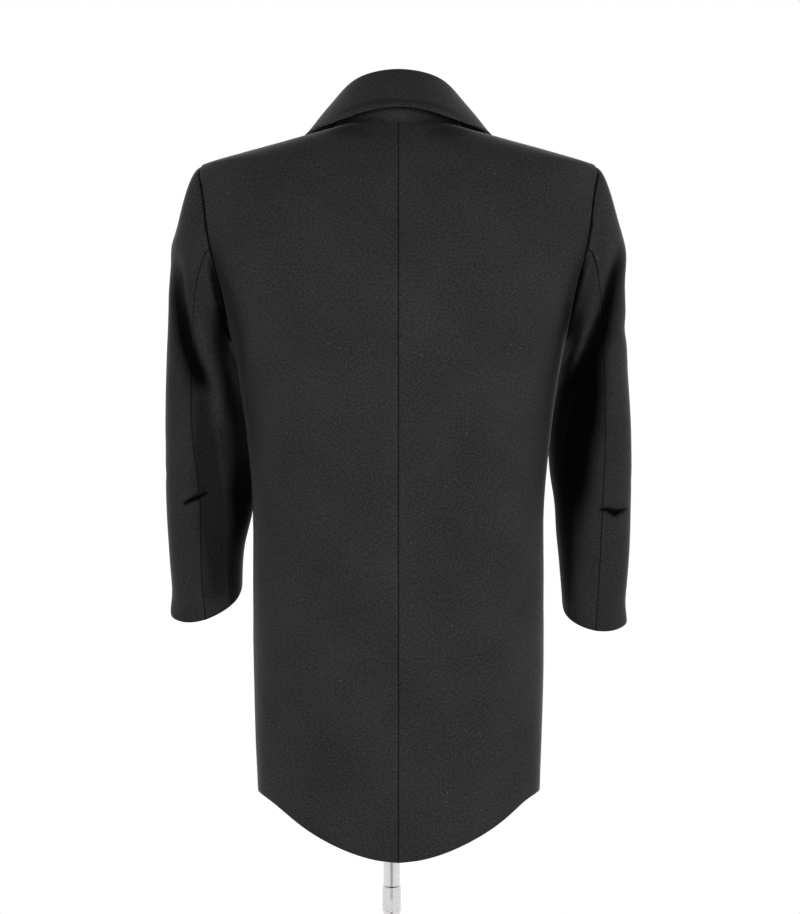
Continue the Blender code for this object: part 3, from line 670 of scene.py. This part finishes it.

# Sleeves
# Each sleeve is cut in two, an upper and an under piece, sewn along the hind arm and the
# fore arm and set into the armhole; it hangs empty, so it folds in long slanting drags; the
# dark in its deep folds and between sleeve and body is painted shade.
# Where a crease ends in a shade value, its fold is also darkened with painted shade.
SLEEVE_CREASES = {
    "left": [
        Crease("back", ((0.259, 1.285), (0.252, 1.262), (0.249, 1.233), (0.245, 1.210), (0.241, 1.186),
                       (0.235, 1.163), (0.228, 1.140), (0.222, 1.121)),
               (-0.001, -0.006, -0.01, -0.011, -0.011, -0.01, -0.007, -0.002),
               (0.005, 0.006, 0.006, 0.006, 0.006, 0.006, 0.007, 0.008), 2.4, 0.95),
        Crease("back", ((0.245, 1.297), (0.239, 1.241), (0.228, 1.204), (0.221, 1.166), (0.211, 1.129),
                       (0.197, 1.093)),
               (0.001, 0.003, 0.004, 0.004, 0.003, 0.001),
               (0.01, 0.01, 0.009, 0.009, 0.01, 0.011), 1, 0),
        Crease("back", ((0.217, 1.277), (0.213, 1.256), (0.207, 1.233), (0.201, 1.212)),
               (-0.001, -0.003, -0.004, -0.003),
               (0.003, 0.004, 0.005, 0.006), 1, 0.85),
        Crease("back", ((0.206, 1.219), (0.200, 1.192), (0.194, 1.165), (0.190, 1.137), (0.186, 1.111),
                       (0.179, 1.081)),
               (-0.004, -0.008, -0.009, -0.009, -0.007, -0.004),
               (0.007, 0.009, 0.010, 0.010, 0.009, 0.007), 1, 0.96),
        Crease("back", ((0.176, 1.064), (0.181, 1.035), (0.183, 1.006), (0.185, 0.971), (0.188, 0.936),
                       (0.192, 0.901)),
               (-0.003, -0.007, -0.008, -0.006, -0.004, -0.002),
               (0.007, 0.011, 0.013, 0.01, 0.009, 0.008), 1, 0.95),
        Crease("back", ((0.228, 1.111), (0.223, 1.058), (0.217, 0.977), (0.213, 0.895)),
               (-0.001, -0.002, -0.002, -0.001),
               (0.012, 0.014, 0.016, 0.014), 1, 0.5),
        Crease("back", ((0.225, 1.008), (0.237, 1.003), (0.250, 0.996)),
               (-0.003, -0.006, -0.003),
               (0.0012, 0.0019, 0.0014), 1.6, 0.95),
        Crease("back", ((0.225, 1.016), (0.239, 1.010), (0.252, 1.003)),
               (0.0016, 0.002, 0.0005),
               (0.005, 0.005, 0.005), 1, 0),
        Crease("left", ((-0.020, 1.298), (0.030, 1.296)), (0.0025, 0.0025), (0.016, 0.016)),
        Crease("left", ((-0.078, 0.862), (-0.050, 0.862)), (0.0050, 0.0050), (0.020, 0.020)),
        Crease("above", ((0.2277, 1.3925), (0.2300, 1.3900)), (-0.0018, -0.0012), (0.005, 0.005)),
        Crease("left", ((-0.060, 1.060), (-0.030, 1.040), (0.000, 1.030)), (-0.0010, -0.0024, -0.0004),
               (0.0070, 0.0080, 0.0070)),
        Crease("front", ((0.200, 1.070), (0.225, 1.050), (0.255, 1.045)), (-0.0030, -0.0030, -0.0006),
               (0.0080, 0.0070, 0.0070), 1.8),
        Crease("front", ((0.205, 1.030), (0.228, 1.020), (0.250, 1.022)), (-0.0024, -0.0026, -0.0004),
               (0.0070, 0.0070, 0.0060), 1.8),
        Crease("front", ((0.240, 1.320), (0.236, 1.220), (0.226, 1.140)), (-0.0010, -0.0036, -0.0006),
               (0.0100, 0.0110, 0.0120), 1.6),
    ],
    "right": [
        Crease("back", ((-0.257, 1.300), (-0.250, 1.276), (-0.243, 1.248), (-0.237, 1.221),
                       (-0.231, 1.198), (-0.221, 1.172), (-0.208, 1.144), (-0.195, 1.119)),
               (-0.001, -0.006, -0.01, -0.012, -0.012, -0.011, -0.009, -0.005),
               (0.005, 0.006, 0.006, 0.006, 0.007, 0.007, 0.008, 0.01), 2, 0.96),
        Crease("back", ((-0.235, 1.192), (-0.228, 1.163), (-0.221, 1.128), (-0.214, 1.093),
                       (-0.209, 1.058), (-0.208, 1.017), (-0.204, 0.985), (-0.201, 0.950), (-0.200, 0.915)),
               (-0.002, -0.005, -0.009, -0.01, -0.009, -0.007, -0.005, -0.003, -0.001),
               (0.008, 0.011, 0.015, 0.018, 0.018, 0.017, 0.015, 0.012, 0.010), 1, 0.97),
        Crease("back", ((-0.235, 1.268), (-0.225, 1.221), (-0.214, 1.180), (-0.200, 1.151)),
               (0.001, 0.003, 0.004, 0.002),
               (0.009, 0.009, 0.009, 0.009), 1, 0),
        Crease("back", ((-0.216, 1.277), (-0.209, 1.256), (-0.202, 1.231), (-0.196, 1.204),
                       (-0.190, 1.175), (-0.186, 1.146)),
               (-0.001, -0.003, -0.004, -0.004, -0.004, -0.003),
               (0.003, 0.004, 0.005, 0.006, 0.006, 0.006), 1, 0.9),
        Crease("back", ((-0.261, 1.233), (-0.259, 1.128), (-0.257, 1.035)),
               (0.001, 0.003, 0.001),
               (0.012, 0.012, 0.014), 1, 0),
        Crease("back", ((-0.189, 1.035), (-0.192, 0.977), (-0.196, 0.930), (-0.202, 0.883)),
               (-0.003, -0.004, -0.003, -0.001),
               (0.01, 0.009, 0.008, 0.006), 1, 0.9),
        Crease("back", ((-0.236, 0.989), (-0.244, 0.989), (-0.253, 0.986), (-0.265, 0.989)),
               (-0.003, -0.005, -0.007, -0.003),
               (0.0012, 0.0018, 0.0027, 0.0014), 1.9, 0.93),
        Crease("back", ((-0.234, 0.998), (-0.266, 0.998)),
               (0.0018, 0.0014),
               (0.005, 0.005), 1, 0),
        Crease("right", ((-0.020, 1.290), (0.030, 1.288)), (0.0040, 0.0040), (0.026, 0.026)),
        Crease("right", ((-0.078, 0.849), (-0.050, 0.849)), (0.0050, 0.0050), (0.020, 0.020)),
        Crease("above", ((-0.2283, 1.3920), (-0.2305, 1.3895)), (-0.0018, -0.0012), (0.005, 0.005)),
        Crease("right", ((-0.020, 1.200), (0.030, 1.200)), (-0.0020, -0.0020), (0.014, 0.014)),
        Crease("right", ((-0.062, 1.055), (-0.032, 1.030), (-0.004, 1.024)), (-0.0010, -0.0026, -0.0004),
               (0.0070, 0.0080, 0.0070)),
        Crease("front", ((-0.202, 1.066), (-0.228, 1.050), (-0.256, 1.050)), (-0.0030, -0.0032, -0.0006),
               (0.0080, 0.0070, 0.0070), 1.8),
        Crease("front", ((-0.206, 1.024), (-0.230, 1.012), (-0.252, 1.016)), (-0.0024, -0.0026, -0.0004),
               (0.0070, 0.0070, 0.0060), 1.8),
        Crease("front", ((-0.242, 1.310), (-0.236, 1.210), (-0.224, 1.150)), (-0.0010, -0.0038, -0.0006),
               (0.0100, 0.0110, 0.0120), 1.6),
    ],
}
# Painted shade where a sleeve lies close to the body.
SLEEVE_PAINTED_SHADE = 0.90
for word in ("left", "right"):
    cloth_piece("wool_sleeve_top_" + word, "sleeve_top_" + word, VIEWS[word], SHEET_LEVELS,
                SLEEVE_CREASES[word], CLOTH, painted_contact_shade=SLEEVE_PAINTED_SHADE)
    cloth_piece("wool_sleeve_under_" + word, "sleeve_under_" + word, VIEWS["back"], SHEET_LEVELS,
                SLEEVE_CREASES[word], CLOTH, painted_contact_shade=SLEEVE_PAINTED_SHADE)

# Collar
# A stand sewn round the neck and a leaf that rolls over it and falls on the shoulders; the
# leaf's turned edge is pressed, and the turning inside shows as a faint step along it, pressed
# in and darkened with painted shade.
COLLAR_CLOTH = 0.0035
STAND_TUCK = 0.0040
STAND_LEVELS = 2
# Painted shade on the stand under the leaf, and on the leaf where it lies close to other cloth.
STAND_PAINTED_SHADE = 0.5
LEAF_PAINTED_SHADE = 0.2
LEAF_LINE = 0.0025

LEAF_CREASES = [
    Crease("back", ((-0.085, 1.4405), (-0.060, 1.4474), (-0.030, 1.4553), (0.0, 1.4578), (0.030, 1.4553),
                    (0.060, 1.4474), (0.085, 1.4405)),
           (-0.0002, -0.0006, -0.0008, -0.0008, -0.0008, -0.0006, -0.0002), (LEAF_LINE,) * 7, 1.0, 0.25),
] + [
    Crease("above", ((side * 0.060, 1.4400), (side * 0.084, 1.4360), (side * 0.105, 1.4340)),
           (-0.0015, -0.0042, -0.0045), (0.012, 0.014, 0.014))
    for side in (1.0, -1.0)
]
cloth_piece("wool_collar_stand", "collar_stand", VIEWS["back"], STAND_LEVELS, [], COLLAR_CLOTH,
            STAND_TUCK, STAND_PAINTED_SHADE)
cloth_piece("wool_collar_leaf", "collar_leaf", VIEWS["above"], SHEET_LEVELS, LEAF_CREASES, COLLAR_CLOTH,
            painted_contact_shade=LEAF_PAINTED_SHADE)

# Lapels
# The turned-back tops of the fronts, pressed flat along the roll line and meeting the
# collar at a notch.
LAPEL_CLOTH = 0.0030
for word in ("left", "right"):
    cloth_piece("wool_lapel_" + word, "lapel_" + word, VIEWS["front"], SHEET_LEVELS, [], LAPEL_CLOTH)

# Buttons
# Turned black horn buttons with a raised rim and four holes, sewn down with thread; each goes
# through a worked buttonhole that is bound with the same thread.
BUTTON_STEPS = 48
BUTTON_RIM = 0.0022
BUTTON_DISH = 0.0011
DISH_TAPER = 0.88
BUTTON_ROUND = 0.0006
HORN_ROUND_ANGLE = 30.0
HORN_ANGLE = 35.0
FACE_FORWARD = (math.radians(90.0), 0.0, 0.0)
HOLE_RADIUS = 0.0011
HOLE_OFFSET = 0.0019
HOLE_STEPS = 20
DRILL_REACH = 3.0
THREAD_RADIUS = 0.0004
STITCH_SIDES = 10
STITCH_RINGS = 12
STITCH_OVERRUN = 0.6
STITCH_LEAN = 7.0
BUTTONHOLE_REACH = 0.0125
BUTTONHOLE_HALF = 0.0011
BUTTONHOLE_THREAD = 0.0006
BUTTONHOLE_START = 0.0020
BUTTONHOLE_STEPS = 96
BUTTONHOLE_SIDES = 10
TORUS_TUBE = 0.2
RAY_START = 0.05

horn, horn_shader = new_finish("black_horn", {"Coat Weight": 0.25, "Coat Roughness": 0.12})
horn_place = Socket(horn_shader.outputs[0]).node("ShaderNodeTexCoord", output="Object")
horn_streak = horn_place.grain((90.0, 90.0, 420.0), 3.0)
horn_wear = horn_place.grain((1500.0, 1500.0, 1500.0), 2.0)
feed(horn_shader,
     Base_Color=horn_streak.blend((0.006, 0.006, 0.006, 1.0), (0.030, 0.027, 0.024, 1.0)),
     Roughness=0.22 + 0.16 * horn_wear,
     Normal=horn_wear.node("ShaderNodeBump", {"Height": horn_wear, "Strength": 0.10, "Distance": 0.0001}))

thread, thread_shader = new_finish("black_thread", {"Specular IOR Level": 0.25})
thread_place = Socket(thread_shader.outputs[0]).node("ShaderNodeTexCoord", output="Object")
thread_twist = thread_place.grain((1800.0, 1800.0, 1800.0), 2.0)
feed(thread_shader,
     Base_Color=thread_twist.blend((0.006, 0.006, 0.006, 1.0), (0.026, 0.026, 0.026, 1.0)),
     Roughness=0.65 + 0.25 * thread_twist)

front_wall = bpy.data.objects["wool_front_right"]
front_tree = BVHTree.FromPolygons([vertex.co.copy() for vertex in front_wall.data.vertices],
                                  [tuple(face.vertices) for face in front_wall.data.polygons])


def button(number):
    """One turned button with its four holes and the thread through them."""
    node = "button_%d" % number
    low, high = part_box(node)
    centre = (low + high) / 2.0
    radius = (high.x - low.x) / 2.0
    depth = high.y - low.y
    bpy.ops.object.select_all(action="DESELECT")
    bpy.ops.mesh.primitive_cylinder_add(vertices=BUTTON_STEPS, radius=radius, depth=depth, location=centre,
                                        rotation=FACE_FORWARD)
    disc = bpy.context.object
    bpy.ops.object.transform_apply(location=True, rotation=True, scale=True)
    pick_faces(disc, lambda face: face.normal.y < -SQUARE_ON)
    bpy.ops.mesh.inset(thickness=BUTTON_RIM)
    bpy.ops.mesh.extrude_region_move(TRANSFORM_OT_translate={"value": (0.0, BUTTON_DISH, 0.0)})
    bpy.ops.transform.resize(value=(DISH_TAPER, 1.0, DISH_TAPER), center_override=centre)
    bpy.ops.object.mode_set(mode="OBJECT")
    round_edges(disc, BUTTON_ROUND, 3, HORN_ROUND_ANGLE)
    for side in (-1.0, 1.0):
        for rise in (-1.0, 1.0):
            place = (centre.x + side * HOLE_OFFSET, centre.y, centre.z + rise * HOLE_OFFSET)
            bpy.ops.object.select_all(action="DESELECT")
            bpy.ops.mesh.primitive_cylinder_add(vertices=HOLE_STEPS, radius=HOLE_RADIUS,
                                                depth=depth * DRILL_REACH, location=place,
                                                rotation=FACE_FORWARD)
            drill = bpy.context.object
            only(disc)
            cut = disc.modifiers.new("hole", "BOOLEAN")
            cut.operation = "DIFFERENCE"
            cut.object = drill
            bpy.ops.object.modifier_apply(modifier=cut.name)
            bpy.data.objects.remove(drill)
    only(disc)
    bpy.ops.object.shade_smooth_by_angle(angle=math.radians(HORN_ANGLE))
    settle(disc, "horn_" + node, horn)
    keep_with(disc, "horn", node)
    stitches = []
    for side in (-1.0, 1.0):
        for lean in (-0.5, 0.5):
            place = (centre.x + side * HOLE_OFFSET + lean * THREAD_RADIUS, low.y + BUTTON_DISH, centre.z)
            bpy.ops.object.select_all(action="DESELECT")
            bpy.ops.mesh.primitive_uv_sphere_add(segments=STITCH_SIDES, ring_count=STITCH_RINGS,
                                                 radius=THREAD_RADIUS, location=place)
            stitch = bpy.context.object
            stitch.scale = (1.0, 1.0, (HOLE_OFFSET + HOLE_RADIUS * STITCH_OVERRUN) / THREAD_RADIUS)
            stitch.rotation_euler = (0.0, math.radians(STITCH_LEAN * lean), 0.0)
            stitches.append(stitch)
    bpy.ops.object.select_all(action="DESELECT")
    for stitch in stitches:
        stitch.select_set(True)
    bpy.context.view_layer.objects.active = stitches[0]
    bpy.ops.object.join()
    bpy.ops.object.shade_smooth()
    settle(stitches[0], "thread_" + node, thread)
    keep_with(stitches[0], "wool")


def buttonhole(number):
    """A bound slit from a button toward the coat's edge, laid on the right front."""
    low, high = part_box("button_%d" % number)
    centre = (low + high) / 2.0
    bpy.ops.object.select_all(action="DESELECT")
    bpy.ops.mesh.primitive_torus_add(major_segments=BUTTONHOLE_STEPS, minor_segments=BUTTONHOLE_SIDES,
                                     major_radius=1.0, minor_radius=TORUS_TUBE, rotation=FACE_FORWARD)
    slit = bpy.context.object
    bpy.ops.object.transform_apply(location=True, rotation=True, scale=True)
    middle = centre.x - BUTTONHOLE_START
    for vertex in slit.data.vertices:
        across, lift, up = vertex.co
        away = math.hypot(across, up)
        swell = (away - 1.0) * BUTTONHOLE_THREAD / TORUS_TUBE
        place_x = middle + across / away * (BUTTONHOLE_REACH + swell)
        place_z = centre.z + up / away * (BUTTONHOLE_HALF + swell)
        hit = front_tree.ray_cast(Vector((place_x, low.y - RAY_START, place_z)), VIEWS["back"])[0]
        place_y = hit.y if hit else high.y
        vertex.co = (place_x, place_y + lift * BUTTONHOLE_THREAD / TORUS_TUBE, place_z)
    bpy.ops.object.shade_smooth()
    settle(slit, "buttonhole_%d" % number, thread)
    keep_with(slit, "wool")


for number in (1, 2, 3):
    button(number)
    buttonhole(number)

# Floor, light and camera
# A pale studio floor that fades into white, a soft light just above the camera and a weaker
# one at each side, a bright room behind the coat, and a camera level with its waist.
PHOTO_WIDTH = 800
PHOTO_HEIGHT = 914
CAMERA_PLACE = (-0.0018, 2.8, 1.05)
FOCAL_PIXELS = 2380.0
SENSOR = 36.0
VIEW_GAMMA = 0.7
WHITE = (1.0, 1.0, 1.0, 1.0)
FLOOR_RADIUS = 2.4
FLOOR_STEPS = 96
FLOOR_DROP = 0.0005
FLOOR_GREY = (0.32, 0.32, 0.32, 1.0)
FLOOR_FADE = (0.35, 0.95)
ROOM_FRONT = 0.06
ROOM_BACK = 3.5
ROOM_MIRROR = 0.95
CAMERA_MIRROR = 0.45
ROOM_TURN = (0.10, -0.60)
MIRROR_TURN = (0.94, 0.985)
LIGHT_AIM = (0.0, 0.0, 1.05)

StudioLight = namedtuple("StudioLight", "name place size watts")
LIGHTS = (
    StudioLight("key light", (-0.25, 3.0, 1.25), (0.8, 0.8), 215.0),
    StudioLight("left light", (2.6, -0.5, 1.2), (0.8, 1.2), 80.0),
    StudioLight("right light", (-2.6, -0.5, 1.2), (0.8, 1.2), 80.0),
)

scene = bpy.context.scene
scene.view_settings.view_transform = "Standard"
scene.view_settings.gamma = VIEW_GAMMA

bpy.ops.object.select_all(action="DESELECT")
bpy.ops.mesh.primitive_circle_add(vertices=FLOOR_STEPS, radius=FLOOR_RADIUS, fill_type="NGON",
                                  location=(0.0, 0.0, -FLOOR_DROP))
floor = bpy.context.object
floor_finish, floor_shader = new_finish("pale_floor", {"Base Color": FLOOR_GREY, "Roughness": 0.7})
floor_place = Socket(floor_shader.outputs[0]).node("ShaderNodeTexCoord", output="Object")
floor_reach = floor_place.node("ShaderNodeVectorMath", {0: floor_place}, {"operation": "LENGTH"},
                               output="Value")
floor_fade = floor_reach.node("ShaderNodeMapRange", {"Value": floor_reach,
                                                     "From Min": FLOOR_FADE[0] * FLOOR_RADIUS,
                                                     "From Max": FLOOR_FADE[1] * FLOOR_RADIUS})
clear_floor = floor_reach.node("ShaderNodeBsdfTransparent")
mixed_floor = floor_reach.node("ShaderNodeMixShader", {
    "Fac": floor_fade, 1: Socket(floor_shader.outputs[0]), 2: clear_floor})
floor_tree = floor_finish.node_tree
floor_tree.links.new(mixed_floor.socket, floor_tree.nodes["Material Output"].inputs["Surface"])
settle(floor, "floor", floor_finish)

world = bpy.data.worlds.new("white studio")
scene.world = world
world.use_nodes = True
world_tree = world.node_tree
shown_white = Socket(world_tree.nodes["Background"].outputs[0])
world_tree.nodes["Background"].inputs["Strength"].default_value = 1.0
world_tree.nodes["Background"].inputs["Color"].default_value = WHITE
world_way = shown_white.node("ShaderNodeTexCoord", output="Generated")
world_axes = world_way.node("ShaderNodeSeparateXYZ", {"Vector": world_way})
world_depth = Socket(world_axes.socket.node.outputs["Y"])
behind = world_depth.node("ShaderNodeMapRange", {"Value": world_depth, "From Min": ROOM_TURN[0],
                                                 "From Max": ROOM_TURN[1]},
                          {"interpolation_type": "SMOOTHSTEP"})
mirrored = shown_white.node("ShaderNodeLightPath", output="Is Glossy Ray")
ahead = world_depth.node("ShaderNodeMapRange", {"Value": world_depth.math("ABSOLUTE", world_depth),
                                                "From Min": MIRROR_TURN[0], "From Max": MIRROR_TURN[1]},
                         {"interpolation_type": "SMOOTHSTEP"})
mirror_light = ROOM_MIRROR + (CAMERA_MIRROR - ROOM_MIRROR) * ahead
plain_light = ROOM_FRONT + (ROOM_BACK - ROOM_FRONT) * behind
room_strength = (1.0 - mirrored) * plain_light + mirror_light * mirrored
room_light = shown_white.node("ShaderNodeBackground", {"Color": WHITE, "Strength": room_strength})
seen_ray = shown_white.node("ShaderNodeLightPath", output="Is Camera Ray")
world_mix = shown_white.node("ShaderNodeMixShader", {"Fac": seen_ray, 1: room_light, 2: shown_white})
world_tree.links.new(world_mix.socket, world_tree.nodes["World Output"].inputs["Surface"])


def soft_light(light):
    """A rectangular studio light pointed at the coat, which is not seen itself."""
    lamp = bpy.data.lights.new(light.name, "AREA")
    lamp.shape = "RECTANGLE"
    lamp.size, lamp.size_y = light.size
    lamp.energy = light.watts
    holder = bpy.data.objects.new(light.name, lamp)
    scene.collection.objects.link(holder)
    holder.location = light.place
    holder.rotation_euler = (Vector(LIGHT_AIM) - Vector(light.place)).to_track_quat("-Z", "Y").to_euler()
    holder.visible_camera = False
    holder.visible_glossy = False


for light in LIGHTS:
    soft_light(light)

camera = bpy.data.objects.new("camera", bpy.data.cameras.new("camera"))
scene.collection.objects.link(camera)
camera.location = CAMERA_PLACE
camera.rotation_euler = (math.radians(90.0), 0.0, math.radians(180.0))
camera.data.sensor_width = SENSOR
camera.data.lens = SENSOR * FOCAL_PIXELS / max(PHOTO_WIDTH, PHOTO_HEIGHT)
scene.camera = camera
